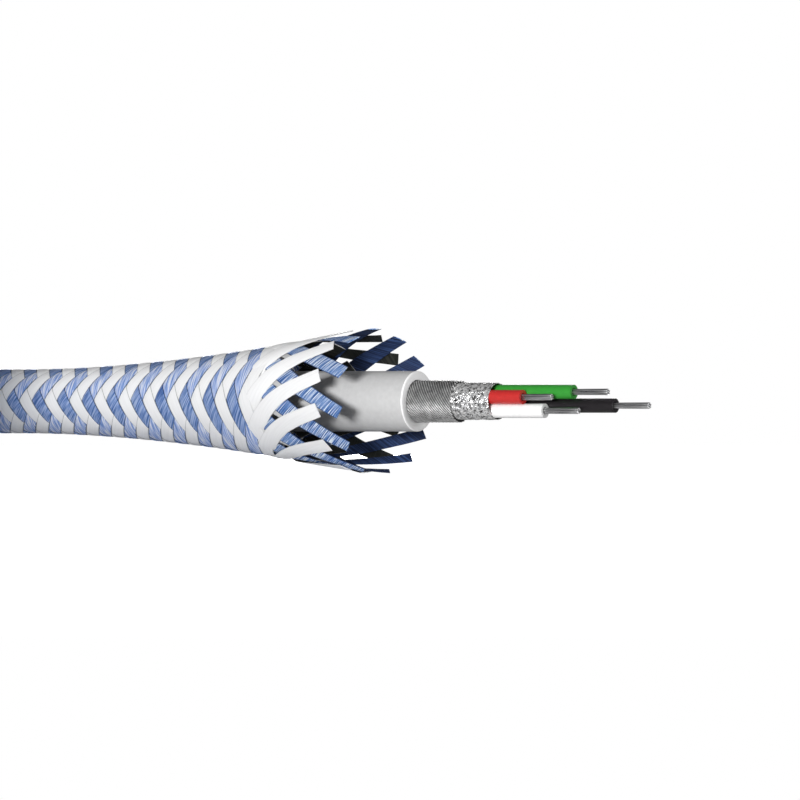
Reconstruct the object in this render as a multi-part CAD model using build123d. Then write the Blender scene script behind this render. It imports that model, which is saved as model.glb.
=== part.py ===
from build123d import *
from math import cos, pi, radians, sin, sqrt, tan
import os

# Screened four-core cable in a woven two-colour sleeve. One end is stripped back in steps,
# with the sleeve flared and its tapes cut loose. The rest of the lead is put away as a coil
# beside it and ends in a three-pole 6.35 mm jack plug with a screw-on barrel.
# Millimetres. +X runs along the cable towards the stripped wires and +Z is up. The origin is
# on the cable's axis at the jacket's cut face, from which every strip length is measured.

# Conductors and cores
STRAND_D = 0.20
STRANDS_ROUND = 6
STRAND_GAP = 0.005
CORE_OD = 1.20
CORE_FIT = 0.02
CORE_GAP = 0.016
CORE_TURN = 155.6
CORES = ("red", "green", "black", "white")
CORE_STEP = -90.0
INSULATION_END = {"red": 10.9, "green": 15.2, "black": 19.0, "white": 12.8}
STRIPPED_WIRE = {"red": 2.9, "green": 3.4, "black": 3.4, "white": 3.4}

# Foil, screen and jacket
FOIL_WALL = 0.06
FOIL_FIT = 0.03
FOIL_END = 7.9
SCREEN_WALL = 0.22
SCREEN_END = 4.2
LAYER_FIT = 0.01
JACKET_WALL = 0.74
OWN_LENGTH = 44.0

# Woven sleeve: it grips the jacket at the back and flares towards its cut end
TAPE_T = 0.07
LOOSE_TAPE_W = 1.40
SLEEVE_END = -15.2
FLARE_START = -39.0
FLARE_RATE = 0.00715
FLARE_POWER = 1.75
SLEEVE_STATIONS = 7

# Loose tape ends past the last crossing: (tip angle, tip x), angles from -Y towards +Z
TAPE_ROOT_GAP = 0.15
TAPE_STATIONS = 4
LAYER_DROP = 0.16
WHITE_LEAN = 16.0
WHITE_TIPS = (
    (53, -6.1), (22, -6.3), (-7, -6.2), (-38, -6.0), (-69, -5.8), (-98, -5.7),
    (-126, -5.1), (-156, -5.4), (174, -5.2), (145, -5.2), (119, -5.5), (86, -6.3),
)
BLUE_LEAN = -15.0
BLUE_TIPS = (
    (58, -4.3), (23, -3.8), (-9, -3.9), (-38, -3.8), (-72, -4.2), (-107, -4.0),
    (-131, -3.3), (-155, -3.1), (177, -3.4), (147, -3.3), (122, -3.9), (91, -4.4),
)

# The put-away coil: turns stand in columns and layers one pitch apart. Its middle is LEAD_IN
# behind the stripped end's own solids
REST_DROP = 6.3
COLUMN_PITCH = 5.5
LAYER_PITCH = 5.45
COLUMNS = 4
LAYERS = 4
COIL_MEAN_R = 30.5
LEAD_IN = 28.0
ENTRY_LAYER = 1
COIL_EDGE_R = 2.5
TURNS_ANGLE = 14 * 360 + 115
CORNER_SHARE = 0.45
TIE_T = 1.2
TIE_W = 12.0
TIE_GAP = 0.1
TIE_CORNER_R = 2.0

# Jack plug, in its own axis: 0 is the flange's front face and + is towards the tip
PLUG_R = 3.175
PLUG_FIT = 0.05
SLEEVE_POLE_LENGTH = 20.4
RING_INSULATION = 1.2
RING_LENGTH = 3.2
TIP_INSULATION = 1.2
TIP_LENGTH = 5.0
# The tip's outline from its back to its front: (distance from its back, depth under PLUG_R)
TIP_OUTLINE = (
    (0.9, 0.825), (1.3, 0.825), (2.3, 0.05), (2.7, 0.05), (4.4, 1.625), (TIP_LENGTH, 2.275),
)
TIP_ROD_R = 1.0
POLE_TUBE_WALL = 0.45
INSULATION_SET_BACK = 0.2
FLANGE_R = 5.6
FLANGE_T = 2.4
THREAD_R = 4.8
THREAD_LENGTH = 6.1
THREAD_RELIEF = 0.5
WASHER_T = 0.6
DISC_T = 1.2
FRONT_DISC_R = 2.8
REAR_DISC_R = 2.1
RIVET_HEAD_R = 1.4
LUG_TONGUE = 5.0
LUG_W = 2.0
LUG_HOLE_R = 0.45
LUG_HOLE_EDGE = 1.2
RING_LUG_TURN = 120
CLAMP_LENGTH = 15.0
CLAMP_BAR_W = 2.4
CLAMP_BAR_GAP = 0.15
CRIMP_LENGTH = 5.0
CRIMP_WALL = 0.6
CRIMP_SEAM = 1.0
CLAMP_RIM = 0.3
LINER_WALL = 0.3
LINER_LENGTH = 13.5
BARREL_R = 6.5
BARREL_LENGTH = 30.5
BARREL_BORE_R = 5.25
BARREL_BACK_WALL = 1.8
BARREL_EDGE = 0.6
MOVING_GAP = 0.3
CHUCK_LENGTH = 6.5
CHUCK_RIM = 2.4
CHUCK_TAPER = 1.0
CHUCK_SLOT = 0.8
CHUCK_UNCUT = 2.0
BOOT_LENGTH = 9.0
BOOT_WALL = 1.1
BOOT_COLLAR = 0.6
BOOT_TIP_WALL = 0.55

# Plug's place beside the coil: its flange is PLUG_REACH past the coil's middle
PLUG_CLEAR = 2.0
PLUG_REACH = 53.5

# Worked out from the sizes above
core_r = CORE_OD / 2
core_bore_r = STRAND_D * 1.5 + STRAND_GAP + CORE_FIT
core_pitch_r = (CORE_OD + CORE_GAP) / sqrt(2)
foil_bore_r = core_pitch_r + core_r + FOIL_FIT
foil_r = foil_bore_r + FOIL_WALL
screen_bore_r = foil_r + LAYER_FIT
screen_r = screen_bore_r + SCREEN_WALL
jacket_bore_r = screen_r + LAYER_FIT
jacket_r = jacket_bore_r + JACKET_WALL
sleeve_bore_r = jacket_r + LAYER_FIT
sleeve_r = sleeve_bore_r + 2 * TAPE_T
cable_r = sleeve_r
floor_z = -REST_DROP
lying_z = floor_z + cable_r


def pipe(outer_r, bore_r, start, end, y=0.0, z=0.0):
    """A tube, or a rod where bore_r is 0, along X."""
    plane = Plane(origin=(start, y, z), x_dir=(0, 1, 0), z_dir=(1, 0, 0))
    ring = Circle(outer_r) - Circle(bore_r) if bore_r else Circle(outer_r)
    return extrude(plane * ring, amount=end - start)


def turned(profile):
    """The solid that a closed outline of (x, radius) points makes about the X axis."""
    return revolve(make_face(Polyline(*profile, close=True)), Axis.X)


def keep(name, *shapes):
    """Writes one node, whose separate solids stay separate."""
    solids = [s for shape in shapes for s in shape.solids()]
    export_step(solids[0] if len(solids) == 1 else Compound(solids), f"parts/{name}.step")


# ---- the stripped end -----------------------------------------------------------------


def conductor(y, z, end):
    """Seven strands: one in the middle and six round it."""
    lay_r = STRAND_D + STRAND_GAP
    places = [(0.0, 0.0)]
    for i in range(STRANDS_ROUND):
        turn = 2 * pi * i / STRANDS_ROUND
        places.append((lay_r * cos(turn), lay_r * sin(turn)))
    return [pipe(STRAND_D / 2, 0, -OWN_LENGTH, end, y + a, z + b) for a, b in places]


def make_cores():
    for i, colour in enumerate(CORES):
        turn = radians(CORE_TURN + CORE_STEP * i)
        y, z = core_pitch_r * cos(turn), core_pitch_r * sin(turn)
        end = INSULATION_END[colour]
        keep(f"{colour}_insulation", pipe(core_r, core_bore_r, -OWN_LENGTH, end, y, z))
        keep(f"{colour}_conductor", *conductor(y, z, end + STRIPPED_WIRE[colour]))


def make_layers():
    keep("foil_wrap", pipe(foil_r, foil_bore_r, -OWN_LENGTH, FOIL_END))
    keep("wire_screen", pipe(screen_r, screen_bore_r, -OWN_LENGTH, SCREEN_END))
    keep("jacket", pipe(jacket_r, jacket_bore_r, -OWN_LENGTH, 0.0))


def flare_r(x):
    """The sleeve's outer radius at x, which the loose ends carry on."""
    return sleeve_r + FLARE_RATE * max(0.0, x - FLARE_START) ** FLARE_POWER


def braided_sleeve():
    """The woven stretch of the sleeve: gripping at the back, trumpet-shaped in front."""
    step = (SLEEVE_END - FLARE_START) / (SLEEVE_STATIONS - 1)
    xs = [FLARE_START + step * i for i in range(SLEEVE_STATIONS)]
    wall = sleeve_r - sleeve_bore_r
    outer = [(x, flare_r(x)) for x in xs]
    inner = [(x, flare_r(x) - wall) for x in xs]
    outline = [
        Line((-OWN_LENGTH, sleeve_bore_r), (-OWN_LENGTH, sleeve_r)),
        Line((-OWN_LENGTH, sleeve_r), outer[0]),
        Spline(*outer),
        Line(outer[-1], inner[-1]),
        Spline(*inner),
        Line(inner[0], (-OWN_LENGTH, sleeve_bore_r)),
    ]
    return revolve(make_face(outline), Axis.X)


def tape_end(tip_angle, lean, tip_x, drop):
    """One loose tape from the last crossing to its cut tip, leaning by lean degrees."""
    root_x = SLEEVE_END + TAPE_ROOT_GAP
    places = []
    for i in range(TAPE_STATIONS):
        t = i / (TAPE_STATIONS - 1)
        x = root_x + (tip_x - root_x) * t
        turn = radians(tip_angle - lean * (1 - t))
        r = flare_r(x) - TAPE_T / 2 - drop
        places.append((Vector(x, -r * cos(turn), r * sin(turn)), turn))
    sections = []
    for i, (point, turn) in enumerate(places):
        before, after = places[max(i - 1, 0)][0], places[min(i + 1, TAPE_STATIONS - 1)][0]
        across = Vector(0, sin(turn), cos(turn))
        plane = Plane(origin=point, x_dir=across, z_dir=(after - before).normalized())
        sections.append(plane * Rectangle(LOOSE_TAPE_W, TAPE_T))
    return loft(sections)


def make_sleeve():
    keep("braided_sleeve", braided_sleeve())
    for i, (angle, x) in enumerate(WHITE_TIPS):
        keep(f"white_tape_end_{i + 1:02d}", tape_end(angle, WHITE_LEAN, x, 0.0))
    for i, (angle, x) in enumerate(BLUE_TIPS):
        keep(f"blue_tape_end_{i + 1:02d}", tape_end(angle, BLUE_LEAN, x, LAYER_DROP))


# ---- the free cable: lead-in, coil, tie and tail --------------------------------------

coil_outer_turn_r = COIL_MEAN_R + COLUMN_PITCH * (COLUMNS - 1) / 2
coil_outer_r = coil_outer_turn_r + cable_r
coil_inner_r = COIL_MEAN_R - COLUMN_PITCH * (COLUMNS - 1) / 2 - cable_r
coil_height = LAYER_PITCH * (LAYERS - 1) + 2 * cable_r
coil_centre_x = -OWN_LENGTH - LEAD_IN
coil_centre_y = -coil_outer_turn_r
plug_flange_x = coil_centre_x + PLUG_REACH
plug_y = coil_centre_y - coil_outer_r - BARREL_R - PLUG_CLEAR
plug_z = floor_z + BARREL_R

# The routes' corners, chosen one by one
LEAD_ROUTE = (
    (-OWN_LENGTH, 0.0, 0.0),
    (-OWN_LENGTH - 8.0, 0.0, 0.0),
    (-OWN_LENGTH - 18.0, 0.0, 1.4),
    (coil_centre_x, 0.0, lying_z + LAYER_PITCH * ENTRY_LAYER),
)
TAIL_ROUTE = (
    (coil_centre_x - 35.1, -55.1, lying_z),
    (coil_centre_x - 29.2, -67.8, lying_z),
    (coil_centre_x - 20.2, -78.5, lying_z + 0.4),
    (coil_centre_x - 9.0, -85.6, lying_z + 2.0),
    (coil_centre_x + 3.0, plug_y, plug_z),
    (plug_flange_x - FLANGE_T - THREAD_LENGTH - CLAMP_LENGTH + CRIMP_LENGTH, plug_y, plug_z),
)


def cable_run(name, route):
    """A plain tube of the cable's diameter: straight runs joined by tangent arcs."""
    points = [Vector(*p) for p in route]
    runs = [(b - a).length for a, b in zip(points, points[1:])]
    radii = []
    for a, b, c, run_in, run_out in zip(points, points[1:], points[2:], runs, runs[1:]):
        half_turn = radians((b - a).get_angle(c - b)) / 2
        radii.append(CORNER_SHARE * min(run_in, run_out) / tan(half_turn))
    path = FilletPolyline(*points, radius=radii)
    section = Plane(origin=path @ 0, z_dir=path % 0) * Circle(cable_r)
    solid = sweep(section, path=path)
    full = pi * cable_r**2 * path.length
    print(f"{name}: length {path.length:.1f}, runs {[round(r, 1) for r in runs]},"
          f" radii {[round(r, 1) for r in radii]}, volume {solid.volume:.1f} of {full:.1f}")
    keep(name, solid)
    return path.length


def tie_frame(inset, width):
    """A rectangle round the coil's section at its +X side, inset from the coil's faces."""
    middle_x = coil_centre_x + COIL_MEAN_R
    plane = Plane(
        origin=(middle_x, coil_centre_y - width / 2, floor_z + coil_height / 2),
        x_dir=(1, 0, 0), z_dir=(0, 1, 0),
    )
    across = coil_outer_r - coil_inner_r - 2 * inset
    up = coil_height - 2 * inset
    return extrude(plane * RectangleRounded(across, up, TIE_CORNER_R), amount=width)


def make_coil():
    section = Plane.XZ * Pos(COIL_MEAN_R, floor_z + coil_height / 2) * RectangleRounded(
        coil_outer_r - coil_inner_r, coil_height, COIL_EDGE_R
    )
    ring = Pos(coil_centre_x, coil_centre_y, 0) * revolve(section, Axis.Z)
    slab_size = 2 * (coil_outer_r - coil_inner_r)
    slab = Pos(coil_centre_x + COIL_MEAN_R, coil_centre_y, 0) * Box(
        slab_size, TIE_W + 2 * TIE_GAP, 2 * slab_size
    )
    waist = tie_frame(TIE_T + TIE_GAP, TIE_W + 2 * TIE_GAP)
    keep("cable_coil", ring - (slab - waist))
    keep("coil_tie", tie_frame(0.0, TIE_W) - tie_frame(TIE_T, TIE_W))
    return 2 * pi * COIL_MEAN_R * TURNS_ANGLE / 360


# ---- the jack plug --------------------------------------------------------------------

sleeve_pole_bore_r = TIP_ROD_R + 4 * POLE_TUBE_WALL - 2 * PLUG_FIT
ring_insulator_r = sleeve_pole_bore_r - PLUG_FIT
ring_tube_r = ring_insulator_r - POLE_TUBE_WALL
tip_insulator_r = ring_tube_r - POLE_TUBE_WALL
body_back = -FLANGE_T - THREAD_LENGTH
clamp_back = body_back - WASHER_T
front_disc_back = clamp_back - DISC_T
ring_lug_back = front_disc_back - WASHER_T
rear_disc_back = ring_lug_back - DISC_T
tip_lug_back = rear_disc_back - WASHER_T
ring_start = SLEEVE_POLE_LENGTH + RING_INSULATION
ring_end = ring_start + RING_LENGTH
tip_start = ring_end + TIP_INSULATION
barrel_front = -FLANGE_T - PLUG_FIT
barrel_back = barrel_front - BARREL_LENGTH
chuck_back = barrel_back + BARREL_BACK_WALL + PLUG_FIT
grip_bore_r = cable_r + MOVING_GAP
boot_r = grip_bore_r + BOOT_WALL


def plug_node(name, *shapes):
    """Writes a piece of the plug at the plug's place beside the coil."""
    keep(name, *[Pos(plug_flange_x, plug_y, plug_z) * shape for shape in shapes])


def make_poles():
    """The three contacts and the two insulators that hold them apart."""
    sleeve = pipe(PLUG_R, sleeve_pole_bore_r, 0.0, SLEEVE_POLE_LENGTH)
    sleeve += pipe(FLANGE_R, sleeve_pole_bore_r, -FLANGE_T, 0.0)
    sleeve += pipe(THREAD_R, sleeve_pole_bore_r, body_back, -FLANGE_T)
    plug_node("sleeve_contact", sleeve)

    band_r = PLUG_R - INSULATION_SET_BACK
    insulator = pipe(band_r, ring_tube_r, SLEEVE_POLE_LENGTH, ring_start)
    insulator += pipe(ring_insulator_r, ring_tube_r, clamp_back, SLEEVE_POLE_LENGTH)
    plug_node("ring_insulator", insulator)

    contact = pipe(PLUG_R, tip_insulator_r, ring_start, ring_end)
    contact += pipe(ring_tube_r - PLUG_FIT, tip_insulator_r, ring_lug_back, ring_start)
    plug_node("ring_contact", contact)

    insulator = pipe(band_r, TIP_ROD_R, ring_end, tip_start)
    insulator += pipe(tip_insulator_r - PLUG_FIT, TIP_ROD_R, rear_disc_back, ring_end)
    plug_node("tip_insulator", insulator)

    nose = [(tip_start + along, PLUG_R - depth) for along, depth in TIP_OUTLINE]
    nose = turned([(tip_start, 0), (tip_start, band_r), *nose, (tip_start + TIP_LENGTH, 0)])
    rod = pipe(TIP_ROD_R - PLUG_FIT, 0, tip_lug_back, tip_start)
    head = pipe(RIVET_HEAD_R, 0, tip_lug_back - WASHER_T, tip_lug_back)
    plug_node("tip_contact", nose + rod + head)


def solder_lug(outer_r, bore_r, front, back, turn):
    """A washer on the poles with a drilled tongue to take a core's wire."""
    reach = outer_r - WASHER_T / 2
    length = LUG_TONGUE + WASHER_T
    tongue = Pos(front - length / 2, 0, reach) * Box(length, LUG_W, WASHER_T)
    hole_x = back - LUG_TONGUE + LUG_HOLE_EDGE
    hole = Pos(hole_x, 0, reach) * Cylinder(LUG_HOLE_R, 2 * WASHER_T)
    return Rot(turn, 0, 0) * (pipe(outer_r, bore_r, back, front) + tongue - hole)


def make_terminals():
    """What is riveted behind the threaded body: earth clamp, lugs and their insulators."""
    front_disc = pipe(FRONT_DISC_R, ring_tube_r, front_disc_back, clamp_back)
    plug_node("front_lug_insulator", front_disc)
    rear_disc = pipe(REAR_DISC_R, tip_insulator_r, rear_disc_back, ring_lug_back)
    plug_node("rear_lug_insulator", rear_disc)
    ring_lug = solder_lug(
        FRONT_DISC_R, ring_tube_r, front_disc_back, ring_lug_back, RING_LUG_TURN
    )
    plug_node("ring_lug", ring_lug)
    tip_lug = solder_lug(REAR_DISC_R, TIP_ROD_R, rear_disc_back, tip_lug_back, 0)
    plug_node("tip_lug", tip_lug)

    crimp_bore_r = cable_r + PLUG_FIT
    crimp_r = crimp_bore_r + CRIMP_WALL
    crimp_back = body_back - CLAMP_LENGTH
    bar_top = max(FRONT_DISC_R + CLAMP_BAR_GAP, crimp_bore_r)
    washer_r = bar_top + CRIMP_WALL + CLAMP_RIM
    washer = pipe(washer_r, ring_insulator_r + PLUG_FIT, clamp_back, body_back)
    crimp = pipe(crimp_r, crimp_bore_r, crimp_back, crimp_back + CRIMP_LENGTH)
    crimp -= Pos(crimp_back + CRIMP_LENGTH / 2, 0, crimp_r) * Box(
        CRIMP_LENGTH, CRIMP_SEAM, 2 * crimp_r
    )
    bar = Pos((crimp_back + body_back) / 2, 0, -bar_top - CRIMP_WALL / 2) * Box(
        CLAMP_LENGTH, CLAMP_BAR_W, CRIMP_WALL
    )
    plug_node("earth_clamp", washer + crimp + bar)

    liner_r = THREAD_R - MOVING_GAP
    start = clamp_back - LINER_LENGTH
    plug_node("insulating_liner", pipe(liner_r, liner_r - LINER_WALL, start, clamp_back))


def make_housing():
    """The pieces that come off over the cable: chuck, boot and screw-on barrel."""
    chuck_r = BARREL_BORE_R - MOVING_GAP
    chuck = turned([
        (chuck_back, grip_bore_r), (chuck_back, chuck_r), (chuck_back + CHUCK_RIM, chuck_r),
        (chuck_back + CHUCK_LENGTH, chuck_r - CHUCK_TAPER),
        (chuck_back + CHUCK_LENGTH, grip_bore_r),
    ])
    fingers = Pos(chuck_back + CHUCK_UNCUT + CHUCK_LENGTH / 2, 0, 0)
    slots = fingers * Box(CHUCK_LENGTH, CHUCK_SLOT, 3 * chuck_r)
    slots += fingers * Box(CHUCK_LENGTH, 3 * chuck_r, CHUCK_SLOT)
    plug_node("cable_chuck", chuck - slots)

    boot_back = chuck_back - BARREL_BACK_WALL - BOOT_LENGTH
    tip_r = grip_bore_r + BOOT_TIP_WALL
    plug_node("strain_relief_boot", turned([
        (chuck_back, grip_bore_r), (chuck_back, boot_r),
        (barrel_back - BOOT_COLLAR, boot_r), (boot_back, tip_r), (boot_back, grip_bore_r),
    ]))

    thread_bore_r = THREAD_R + PLUG_FIT
    thread_back = body_back - THREAD_RELIEF
    shoulder = thread_back - (BARREL_BORE_R - thread_bore_r)
    back_bore_r = boot_r + MOVING_GAP
    inside_back = barrel_back + BARREL_BACK_WALL
    plug_node("barrel", turned([
        (barrel_front, thread_bore_r), (thread_back, thread_bore_r),
        (shoulder, BARREL_BORE_R), (inside_back, BARREL_BORE_R), (inside_back, back_bore_r),
        (barrel_back, back_bore_r), (barrel_back, BARREL_R - 2 * BARREL_EDGE),
        (barrel_back + 2 * BARREL_EDGE, BARREL_R), (barrel_front - BARREL_EDGE, BARREL_R),
        (barrel_front, BARREL_R - BARREL_EDGE),
    ]))


os.makedirs("parts", exist_ok=True)
make_cores()
make_layers()
make_sleeve()
lead_length = cable_run("cable_lead_in", LEAD_ROUTE)
tail_length = cable_run("cable_tail", TAIL_ROUTE)
coil_length = make_coil()
make_poles()
make_terminals()
make_housing()
print(f"cable diameter {2 * cable_r:.2f}, free length {lead_length + coil_length + tail_length:.0f}")
print(f"plug axis y {plug_y:.3f} z {plug_z:.3f}, coil centre y {coil_centre_y:.3f}")
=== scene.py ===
from math import ceil, cos, degrees, pi, radians, sin, sqrt, tau

import bmesh
import bpy
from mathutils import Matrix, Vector, noise


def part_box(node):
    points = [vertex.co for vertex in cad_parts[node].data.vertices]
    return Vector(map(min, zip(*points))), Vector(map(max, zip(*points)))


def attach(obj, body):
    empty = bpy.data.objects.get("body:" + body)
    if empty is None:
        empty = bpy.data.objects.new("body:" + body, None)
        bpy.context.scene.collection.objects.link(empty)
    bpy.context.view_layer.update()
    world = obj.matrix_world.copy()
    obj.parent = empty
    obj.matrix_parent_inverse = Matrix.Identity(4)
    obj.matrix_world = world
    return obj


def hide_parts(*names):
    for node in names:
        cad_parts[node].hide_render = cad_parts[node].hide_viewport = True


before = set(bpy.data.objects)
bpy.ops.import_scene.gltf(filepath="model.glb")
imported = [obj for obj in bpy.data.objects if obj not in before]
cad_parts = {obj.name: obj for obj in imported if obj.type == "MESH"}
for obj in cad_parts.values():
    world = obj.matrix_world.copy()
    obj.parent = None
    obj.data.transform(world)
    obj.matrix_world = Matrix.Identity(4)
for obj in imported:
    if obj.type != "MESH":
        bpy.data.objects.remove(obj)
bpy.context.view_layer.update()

# Everything below is worked out in millimetres and made in metres: the stripped and frayed
# end of a four-core cable in a woven sleeve, the coil that the rest of it is put away in,
# the tie round the coil and the jack plug.
MM = 0.001


def node_box(name):
    """A CAD node's lowest and highest corners, in millimetres."""
    low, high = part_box(name)
    return low / MM, high / MM


jacket_low, jacket_high = node_box("jacket")
screen_high = node_box("wire_screen")[1]
foil_high = node_box("foil_wrap")[1]
tie_low, tie_high = node_box("coil_tie")
start_x = jacket_low.x
jacket_r = jacket_high.z
cable_r = node_box("cable_lead_in")[1].y
floor_z = node_box("cable_coil")[0].z
lying_z = floor_z + cable_r

# The sleeve's weave: TAPES tapes each way, every second one blue, over two and under two.
# A tape goes once round the cable in a length of LAY. WEAVE_X and WEAVE_TURN place the
# crossings, and WEAVE_END is how far forward the white tapes' edges are painted dark, as
# painted shade where the tapes meet.
LAY = 10.32
TAPES = 8
CROSSINGS = 2 * TAPES
WEAVE_X = -0.2
WEAVE_TURN = radians(1.4)
WEAVE_END = -14.5
tape_slope = tau * cable_r / LAY

# How far the jacket's cut edge is rounded off
JACKET_EDGE_R = 0.12

# ---- meshes ---------------------------------------------------------------------------


class Shape:
    """Vertices in millimetres, faces, and a UV pair for each face corner.

    inner holds the numbers of the faces on the inner side of its strips.
    """

    def __init__(self):
        self.verts, self.faces, self.uvs = [], [], []
        self.inner = set()

    def grid(self, rows, us, vs):
        """Quads between rows of points, each row a closed ring. vs has one value more than a row."""
        base, count = len(self.verts), len(rows[0])
        for row in rows:
            self.verts.extend(row)
        for k in range(len(rows) - 1):
            for m in range(count):
                n = (m + 1) % count
                here, there = base + k * count, base + (k + 1) * count
                self.faces.append((here + m, here + n, there + n, there + m))
                self.uvs.extend(
                    ((us[k], vs[m]), (us[k], vs[m + 1]), (us[k + 1], vs[m + 1]), (us[k + 1], vs[m]))
                )
        return base

    def fan(self, ring, centre, u):
        """A cap of triangles from a ring of vertex numbers to a new centre point."""
        self.verts.append(centre)
        tip = len(self.verts) - 1
        for a, b in zip(ring, ring[1:] + ring[:1]):
            self.faces.append((a, b, tip))
            self.uvs.extend(((u, 0.0), (u, 0.0), (u, 0.0)))

    def strip(self, tops, bottoms, us, vs):
        """A closed thin strip: rows across its top and bottom faces, edges and ends."""
        count = len(tops[0])
        rows = [list(t) + list(reversed(b)) for t, b in zip(tops, bottoms)]
        around = list(vs) + list(reversed(vs)) + [vs[0]]
        first = len(self.faces)
        base = self.grid(rows, us, around)
        for k in range(len(rows) - 1):
            self.inner.update(range(first + count, first + 2 * count - 1))
            first += 2 * count
        for k in (0, len(rows) - 1):
            ring = base + k * 2 * count
            for m in range(count - 1):
                self.faces.append(
                    (ring + m, ring + m + 1, ring + 2 * count - 2 - m, ring + 2 * count - 1 - m)
                )
                self.uvs.extend(((us[k], vs[m]), (us[k], vs[m + 1])) * 2)


def add_piece(name, shape, material, replaces, sharp=40.0, back=None):
    """Makes a piece of the visual model from a shape, in place of the CAD nodes it replaces.

    Faces that meet at more than sharp degrees keep a sharp edge between them. Where back is
    given, the inner faces of its strips have that material.
    """
    mesh = bpy.data.meshes.new(name)
    mesh.from_pydata([[c * MM for c in v] for v in shape.verts], [], shape.faces)
    layer = mesh.uv_layers.new(name="Along")
    layer.data.foreach_set("uv", [c for pair in shape.uvs for c in pair])
    cleaner = bmesh.new()
    cleaner.from_mesh(mesh)
    bmesh.ops.recalc_face_normals(cleaner, faces=cleaner.faces)
    cleaner.to_mesh(mesh)
    cleaner.free()
    mesh.shade_smooth()
    mesh.set_sharp_from_angle(angle=radians(sharp))
    piece = bpy.data.objects.new(name, mesh)
    bpy.context.scene.collection.objects.link(piece)
    mesh.materials.append(material)
    if back:
        mesh.materials.append(back)
        mesh.polygons.foreach_set(
            "material_index", [int(i in shape.inner) for i in range(len(shape.faces))]
        )
    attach(piece, "root")
    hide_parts(*replaces)
    return piece


def evenly(low, high, count):
    """count numbers from low to high, both included."""
    return [low + (high - low) * i / (count - 1) for i in range(count)]


def smooth(t):
    """Goes from 0 to 1 as t does, level at both ends."""
    t = min(max(t, 0.0), 1.0)
    return t * t * (3 - 2 * t)


def about_x(x, r, turn):
    """The point at radius r round the cable's axis, turned from -Y towards +Z."""
    return Vector((x, -r * cos(turn), r * sin(turn)))


def closed_tube(shape, rows, us):
    """A tube through rings of points, with a cap on each end."""
    sides = len(rows[0])
    base = shape.grid(rows, us, evenly(0, 1, sides + 1))
    last = base + (len(rows) - 1) * sides
    for first, ring, u in ((base, rows[0], us[0]), (last, rows[-1], us[-1])):
        shape.fan(list(range(first, first + sides)), sum(ring, Vector()) / sides, u)


def turned(shape, outline, sides):
    """A closed surface turned about the cable's axis from an outline of (x, radius) points."""
    points = outline + [outline[0]]
    rows = [[about_x(x, r, tau * m / sides) for m in range(sides)] for x, r in points]
    us = [0.0]
    for (x0, r0), (x1, r1) in zip(points, points[1:]):
        us.append(us[-1] + sqrt((x1 - x0) ** 2 + (r1 - r0) ** 2))
    base = len(shape.verts)
    shape.grid(rows, us, evenly(0, 1, sides + 1))
    last = base + len(outline) * sides
    back = last - base
    shape.faces = [tuple(v - back if v >= last else v for v in face) for face in shape.faces]
    del shape.verts[last:]


# ---- materials ------------------------------------------------------------------------


class Material:
    """A node material on one Principled shader, with short ways to add nodes to it."""

    def __init__(self, name, color=(0.8, 0.8, 0.8), **settings):
        self.data = bpy.data.materials.new(name)
        self.data.use_nodes = True
        self.tree = self.data.node_tree
        self.shader = self.tree.nodes["Principled BSDF"]
        self.shader.inputs["Base Color"].default_value = (*color, 1)
        for key, value in settings.items():
            self.shader.inputs[key.title()].default_value = value

    def node(self, kind, **settings):
        made = self.tree.nodes.new("ShaderNode" + kind)
        for key, value in settings.items():
            setattr(made, key, value)
        return made

    def feed(self, socket, value):
        if isinstance(value, bpy.types.NodeSocket):
            self.tree.links.new(value, socket)
        else:
            socket.default_value = value

    def math(self, operation, *values):
        made = self.node("Math", operation=operation)
        for socket, value in zip(made.inputs, values):
            self.feed(socket, value)
        return made.outputs[0]

    def along(self):
        """The piece's own UV map as two numbers: along it and across it."""
        apart = self.node("SeparateXYZ")
        self.feed(apart.inputs[0], self.node("UVMap", uv_map="Along").outputs[0])
        return apart.outputs[0], apart.outputs[1]

    def place(self):
        """Where a point is on the object, in metres."""
        return self.node("TexCoord").outputs["Object"]

    def place_along(self):
        """How far along X a point is, in metres."""
        apart = self.node("SeparateXYZ")
        self.feed(apart.inputs[0], self.place())
        return apart.outputs[0]

    def vector(self, x, y, z=0.0):
        made = self.node("CombineXYZ")
        for socket, value in zip(made.inputs, (x, y, z)):
            self.feed(socket, value)
        return made.outputs[0]

    def noise(self, vector, scale=1.0, detail=3.0, roughness=0.5):
        made = self.node("TexNoise")
        self.feed(made.inputs["Vector"], vector)
        made.inputs["Scale"].default_value = scale
        made.inputs["Detail"].default_value = detail
        made.inputs["Roughness"].default_value = roughness
        return made.outputs["Fac"]

    def ramp(self, value, *stops):
        """A colour ramp of (place, colour) stops. A colour may be one grey number."""
        made = self.node("ValToRGB")
        elements = made.color_ramp.elements
        while len(elements) < len(stops):
            elements.new(0.5)
        for element, (place, color) in zip(elements, stops):
            element.position = place
            grey = isinstance(color, (int, float))
            element.color = (color, color, color, 1) if grey else (*color, 1)
        self.feed(made.inputs[0], value)
        return made.outputs[0]

    def mix(self, factor, a, b):
        made = self.node("Mix", data_type="RGBA")
        for number, value in ((0, factor), (6, a), (7, b)):
            plain = isinstance(value, tuple)
            self.feed(made.inputs[number], (*value, 1) if plain else value)
        return made.outputs[2]

    def color(self, value):
        self.feed(self.shader.inputs["Base Color"], value)

    def rough(self, value):
        self.feed(self.shader.inputs["Roughness"], value)

    def bump(self, height, depth):
        """A bump of depth millimetres for a height from 0 to 1."""
        made = self.node("Bump")
        made.inputs["Strength"].default_value = 1.0
        made.inputs["Distance"].default_value = depth * MM
        self.feed(made.inputs["Height"], height)
        self.feed(self.shader.inputs["Normal"], made.outputs[0])


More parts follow.
